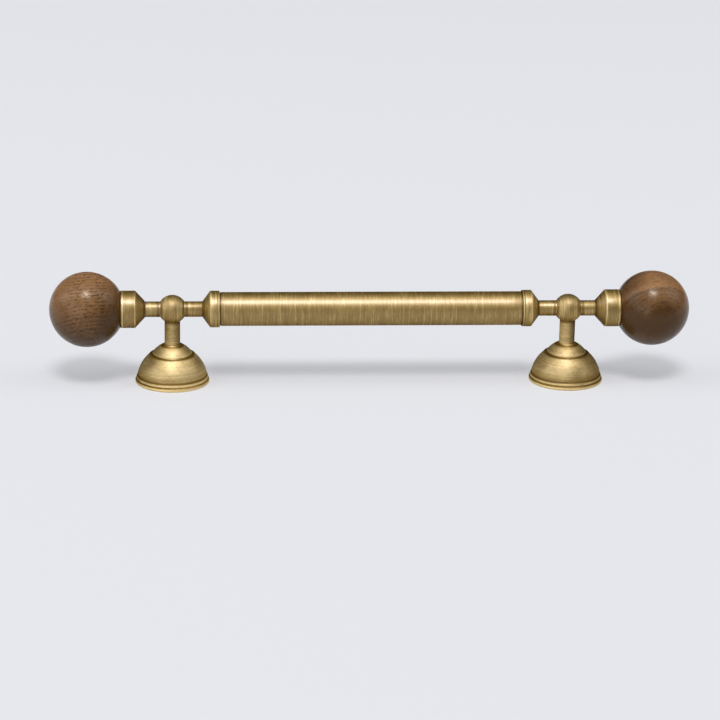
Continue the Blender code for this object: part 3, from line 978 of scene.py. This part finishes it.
class BARPULL_OT_collars(bpy.types.Operator):
    """Turns the small domes round the feet of the posts"""

    bl_idname = "barpull.collars"
    bl_label = "Collars"

    def execute(self, context):
        looks = context.scene.bar_pull
        seat, hole = POST_RADIUS + SEAM, SPIGOT_RADIUS + SEAM
        base, top = COLLAR_LOW.z, COLLAR_HIGH.z
        crown = (seat, top + FLARE_RISE)
        rim = (COLLAR_RIM + RIM_STEP, top - RIM_DROP)
        skirt = (COLLAR_RADIUS - SKIRT_INSET, base + SKIRT_HEIGHT)
        profile = [
            (seat, POST_SEAT),
            crown,
            *cove(crown, COLLAR_RIM - seat, FLARE_DROP, FLARE_STEPS),
            (COLLAR_RIM, rim[1]),
            rim,
            *dome(rim, skirt, COLLAR_STEPS),
            *cove(skirt, HOLLOW_SPREAD, HOLLOW_DROP, HOLLOW_STEPS),
            (skirt[0] + HOLLOW_SPREAD, base),
            (hole, base),
            (hole, POST_SEAT),
        ]
        piece = turn("right_collar_turned", POST, profile, looks.turning.facets)
        # The rub at the rim is wear on its edge and partly a painted highlight, the broad rub below it is a
        # painted highlight, and a rub lightens the lower edge
        rubs_and_highlights = [
            Mark(top - 0.1 * MM, 0.25 * MM, 0.25),
            Mark(top - 0.9 * MM, 0.8 * MM, 0.1),
            Mark(base + 0.2 * MM, 0.5 * MM, 0.22),
        ]
        stains_and_shade = [Mark(rim[1], 0.1 * MM, 0.15)]
        # Painted shade at the two sides of the rim and of the lower edge
        painted_side_shades = [Mark(top - 0.15 * MM, 0.45 * MM, 1.3), Mark(base + 0.1 * MM, 0.4 * MM, 0.8)]
        metals = worn_brass_with_painted_light("turned_brass_collar", looks.brass, FOOT_WEAR_AND_PAINTED_LIGHT, rubs_and_highlights, stains_and_shade, painted_side_shades, soft=True)
        fit_pair(piece, "collar", metals)
        return {"FINISHED"}


class BARPULL_OT_feet(bpy.types.Operator):
    """Turns the domed feet with their two beads and tapped holes"""

    bl_idname = "barpull.feet"
    bl_label = "Feet"

    def execute(self, context):
        looks = context.scene.bar_pull
        shoulder = (SHOULDER_RADIUS, FOOT_TOP - SHOULDER_EASE)
        flat = (SHOULDER_RADIUS - SHOULDER_LEDGE, FOOT_TOP)
        easing = [
            (flat[0] + SHOULDER_LEDGE * math.sin(a), shoulder[1] + SHOULDER_EASE * math.cos(a))
            for a in SHOULDER_TURNS
        ]
        # Without its last two rings, which would deepen the groove below it
        upper_bead = bead(UPPER_BEAD_RADIUS, BASE_BEAD_TOP, UPPER_BEAD_TOP, UPPER_BEAD_BULGE, BEAD_STEPS)[:-2]
        threads = []
        for i in range(THREAD_TURNS):
            floor = COUNTERSINK + THREAD_PITCH * i
            ridge = [(TAPPED_RADIUS - THREAD_DEPTH, floor + THREAD_PITCH * share) for share in THREAD_CREST]
            threads += [(TAPPED_RADIUS, floor), *ridge]
        profile = [
            (TAPPED_RADIUS, FOOT_TOP),
            flat,
            *easing,
            *dome(shoulder, (UPPER_BEAD_RADIUS, UPPER_BEAD_TOP), FOOT_STEPS),
            *upper_bead,
            (BASE_BEAD_RADIUS - BEAD_TUCK, BASE_BEAD_TOP),
            *bead(BASE_BEAD_RADIUS, FOOT_BASE, BASE_BEAD_TOP, BASE_BEAD_BULGE, BEAD_STEPS),
            (TAPPED_RADIUS + COUNTERSINK, FOOT_BASE),
            *threads,
            (TAPPED_RADIUS, COUNTERSINK + THREAD_PITCH * THREAD_TURNS),
        ]
        piece = turn("right_foot_turned", POST, profile, looks.turning.facets)
        rubs_and_highlights = [Mark(0.5 * MM, 0.5 * MM, 0.5), Mark(1.7 * MM, 0.4 * MM, 0.45)]
        # The narrow stains are tarnish in the grooves, the wide one darkens the lower part of the dome, and
        # the one at the top is painted shade that dims the shoulder
        stains_and_shade = [
            Mark(UPPER_BEAD_TOP + 0.2 * MM, 0.4 * MM, 0.22),
            Mark(UPPER_BEAD_TOP + 0.3 * MM, 2.0 * MM, 0.22),
            Mark(BASE_BEAD_TOP, 0.3 * MM, 0.2),
            Mark(FOOT_TOP, 0.5 * MM, 0.1),
        ]
        # Painted shade at the two sides of the dome's foot and of the groove under the collar
        painted_side_shades = [Mark(UPPER_BEAD_TOP + 0.2 * MM, 0.4 * MM, 0.15), Mark(FOOT_TOP, 0.25 * MM, 0.5)]
        metals = worn_brass_with_painted_light("turned_brass_foot", looks.brass, FOOT_WEAR_AND_PAINTED_LIGHT, rubs_and_highlights, stains_and_shade, painted_side_shades, soft=True)
        fit_pair(piece, "foot", metals)
        return {"FINISHED"}


class BARPULL_OT_cups(bpy.types.Operator):
    """Turns the cones that open into cups for the wooden balls"""

    bl_idname = "barpull.cups"
    bl_label = "Cups"

    def execute(self, context):
        looks = context.scene.bar_pull
        edge = looks.turning.edge
        seat = math.hypot(CUP_LIP, BALL_CENTRE - CUP_MOUTH)
        profile = [
            *[(r, BALL_CENTRE - math.sqrt(seat**2 - r**2)) for r in (TAPPED_RADIUS, *CUP_HOLLOW)],
            (CUP_LIP, CUP_MOUTH),
            (CUP_RADIUS, CUP_MOUTH, CUP_LIP_EDGE),
            (CUP_RADIUS, CUP_SHOULDER, edge),
            (CONE_TIP, CUP_TIP, edge),
            (TAPPED_RADIUS, CUP_TIP),
        ]
        piece = turn("right_cup_turned", BAR, profile, looks.turning.facets)
        rubs_and_highlights = [Mark(CUP_SHOULDER, 0.4 * MM, 0.4), Mark(CUP_MOUTH - 0.6 * MM, 0.4 * MM, 0.4)]
        # The stain at the mouth is tarnish and a painted shadow where the ball sits, and lean paints the cup
        # a little lighter towards the top
        stains_and_shade = [Mark(CUP_TIP, 0.9 * MM, 0.4), Mark(CUP_MOUTH, 0.35 * MM, 0.6)]
        metal = brass("turned_brass_cup", looks.brass, BAR, rubs_and_highlights, stains_and_shade, wear=0.47, lean=2.0)
        fit_pair(piece, "cup", [metal])
        return {"FINISHED"}


class BARPULL_OT_balls(bpy.types.Operator):
    """Turns the walnut balls with their blind holes"""

    bl_idname = "barpull.balls"
    bl_label = "Walnut Balls"

    def execute(self, context):
        looks = context.scene.bar_pull
        reach = math.sqrt(BALL_RADIUS**2 - POCKET_RADIUS**2)
        pole = (0.0, BALL_CENTRE + BALL_RADIUS)
        mouth = (POCKET_RADIUS, BALL_CENTRE - reach)
        profile = [
            pole,
            *arc(pole, mouth, BALL_CENTRE, BALL_STEPS),
            (POCKET_RADIUS, mouth[1] + POCKET_DEPTH),
            (0.0, mouth[1] + POCKET_DEPTH),
        ]
        piece = turn("right_ball_turned", BAR, profile, looks.turning.facets)
        woods = [
            walnut(f"walnut_{end}", looks.walnut, Vector((x, 0.0, AXIS_HEIGHT)), grain)
            for end, x, grain in (("right", BALL_CENTRE, RIGHT_GRAIN), ("left", -BALL_CENTRE, LEFT_GRAIN))
        ]
        fit_pair(piece, "wood_ball", woods)
        return {"FINISHED"}


class BARPULL_OT_threads(bpy.types.Operator):
    """Gives the threaded pieces inside the pull their metal"""

    bl_idname = "barpull.threads"
    bl_label = "Threads Inside"

    def execute(self, context):
        finish = context.scene.bar_pull.threads
        steel = thread_metal("thread_steel", finish.steel)
        yellow = thread_metal("thread_brass", finish.brass)
        metals = {"tie_rod": steel, "right_ball_stud": steel, "left_ball_stud": steel}
        metals |= {"right_insert": yellow, "left_insert": yellow}
        for node, metal in metals.items():
            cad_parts[node].material_slots[0].material = metal
        return {"FINISHED"}


class BARPULL_OT_stage(bpy.types.Operator):
    """Sets up the pale floor, the soft light and the camera"""

    bl_idname = "barpull.stage"
    bl_label = "Stage"

    def execute(self, context):
        scene = context.scene
        stage = scene.bar_pull.stage
        deselect()
        bpy.ops.mesh.primitive_plane_add(size=FLOOR_SIZE, location=(0.0, 0.0, 0.0))
        floor = context.object
        floor.name = "floor"
        floor.data.materials.append(self.floor_finish(stage))

        key = self.light("SUN", "small_key", stage.key_height, KEY_SIDE)
        key.energy, key.angle = stage.key, stage.key_width
        for name, height, side, power, width, depth in (
            ("long_strip", stage.strip_height, 0.0, stage.strip, 6.0, 1.3),
            ("pale_card", CARD_HEIGHT, CARD_SIDE, stage.card, 2.0, 0.9),
            ("left_panel", PANEL_HEIGHT, -PANEL_SIDE, stage.left_panel, 1.6, 1.2),
            ("right_panel", PANEL_HEIGHT, PANEL_SIDE, stage.right_panel, 1.6, 1.2),
        ):
            panel = self.light("AREA", name, height, side)
            panel.energy, panel.shape, panel.size, panel.size_y = power, "RECTANGLE", width, depth

        scene.world = self.fill(stage)
        scene.view_settings.view_transform = "Standard"
        scene.camera = self.camera()
        return {"FINISHED"}

    def light(self, kind, name, height, side):
        """A light that shines on the pull from a height over the front, turned to a side."""
        aim = Euler((math.pi / 2 - height, 0.0, side))
        place = aim.to_matrix() @ Vector((0.0, 0.0, LIGHT_DISTANCE))
        bpy.ops.object.light_add(type=kind, rotation=aim, location=place)
        light = bpy.context.object
        light.name = name
        light.visible_camera = False
        return light.data

    def fill(self, stage):
        """Light from all round, a little stronger on the side that the slope points to."""
        world = bpy.data.worlds.new("even_fill")
        world.use_nodes = True
        world.node_tree.nodes.clear()
        start = Shade(world.node_tree)
        way = start.node("ShaderNodeTexCoord", None, None, "Generated")
        lean = start.vectors("DOT_PRODUCT", {0: way, 1: stage.fill_slope}, 1)
        sockets = {"Color": opaque(FILL_COLOUR), "Strength": stage.fill * (1.0 + lean)}
        light = start.node("ShaderNodeBackground", None, sockets)
        output = start.tree.nodes.new("ShaderNodeOutputWorld")
        start.tree.links.new(light.socket, output.inputs["Surface"])
        return world

    def floor_finish(self, stage):
        """A matt floor that looks pale to the eye and in the metal, and still takes the shadow."""
        material, start = new_finish("pale_floor")
        matt = start.node("ShaderNodeBsdfDiffuse", None, {"Color": opaque(FLOOR_MATT)})
        pale = start.node("ShaderNodeEmission", None, {"Color": opaque(stage.floor), "Strength": 1.0})
        seen = start.node("ShaderNodeLightPath", None, None, "Is Camera Ray")
        seen = (seen + seen.part("Is Glossy Ray") + seen.part("Is Transmission Ray")).clamp()
        surface(start, start.node("ShaderNodeMixShader", None, {0: FLOOR_GLOW * seen, 1: matt, 2: pale}))
        return material

    def camera(self):
        """A camera at the photograph's own view."""
        flat = math.cos(VIEW_ELEVATION)
        back = Vector(
            (math.sin(VIEW_AZIMUTH) * flat, -math.cos(VIEW_AZIMUTH) * flat, math.sin(VIEW_ELEVATION))
        )
        place = Vector((0.0, 0.0, AXIS_HEIGHT)) + back * VIEW_DISTANCE
        forward = -back
        right = forward.cross(Vector((0.0, 0.0, 1.0))).normalized()
        up = right.cross(forward)
        level = forward * math.cos(VIEW_PAN) + right * math.sin(VIEW_PAN)
        forward = level * math.cos(VIEW_TILT) + up * math.sin(VIEW_TILT)
        right = forward.cross(up).normalized()
        up = right.cross(forward)
        across = right * math.cos(VIEW_ROLL) + up * math.sin(VIEW_ROLL)
        upright = up * math.cos(VIEW_ROLL) - right * math.sin(VIEW_ROLL)
        bpy.ops.object.camera_add()
        camera = bpy.context.object
        camera.name = "photo_view"
        camera.data.sensor_width = VIEW_SENSOR
        camera.data.lens = VIEW_LENS
        aim = Matrix((across, upright, -forward)).transposed().to_4x4()
        camera.matrix_world = Matrix.Translation(place) @ aim
        return camera


class BARPULL_PT_looks(bpy.types.Panel):
    """Lists the makers of the pieces and the stage"""

    bl_idname = "BARPULL_PT_looks"
    bl_label = "Bar Pull"
    bl_space_type = "VIEW_3D"
    bl_region_type = "UI"
    bl_category = "Bar Pull"

    def draw(self, context):
        for maker in MAKERS:
            self.layout.operator(maker.bl_idname)


GROUPS = (BrassFinish, WalnutFinish, ThreadFinish, TurningSizes, StageLight, BarPullLooks)
MAKERS = (
    BARPULL_OT_stage,
    BARPULL_OT_grip,
    BARPULL_OT_ferrules,
    BARPULL_OT_rods,
    BARPULL_OT_joints,
    BARPULL_OT_posts,
    BARPULL_OT_collars,
    BARPULL_OT_feet,
    BARPULL_OT_cups,
    BARPULL_OT_balls,
    BARPULL_OT_threads,
)


def register():
    for group in (*GROUPS, *MAKERS, BARPULL_PT_looks):
        bpy.utils.register_class(group)
    bpy.types.Scene.bar_pull = bpy.props.PointerProperty(type=BarPullLooks)


def unregister():
    del bpy.types.Scene.bar_pull
    for group in reversed((*GROUPS, *MAKERS, BARPULL_PT_looks)):
        bpy.utils.unregister_class(group)


def main():
    register()
    bpy.ops.barpull.stage()
    bpy.ops.barpull.grip()
    bpy.ops.barpull.ferrules()
    bpy.ops.barpull.rods()
    bpy.ops.barpull.joints()
    bpy.ops.barpull.posts()
    bpy.ops.barpull.collars()
    bpy.ops.barpull.feet()
    bpy.ops.barpull.cups()
    bpy.ops.barpull.balls()
    bpy.ops.barpull.threads()


if __name__ == "__main__":
    main()
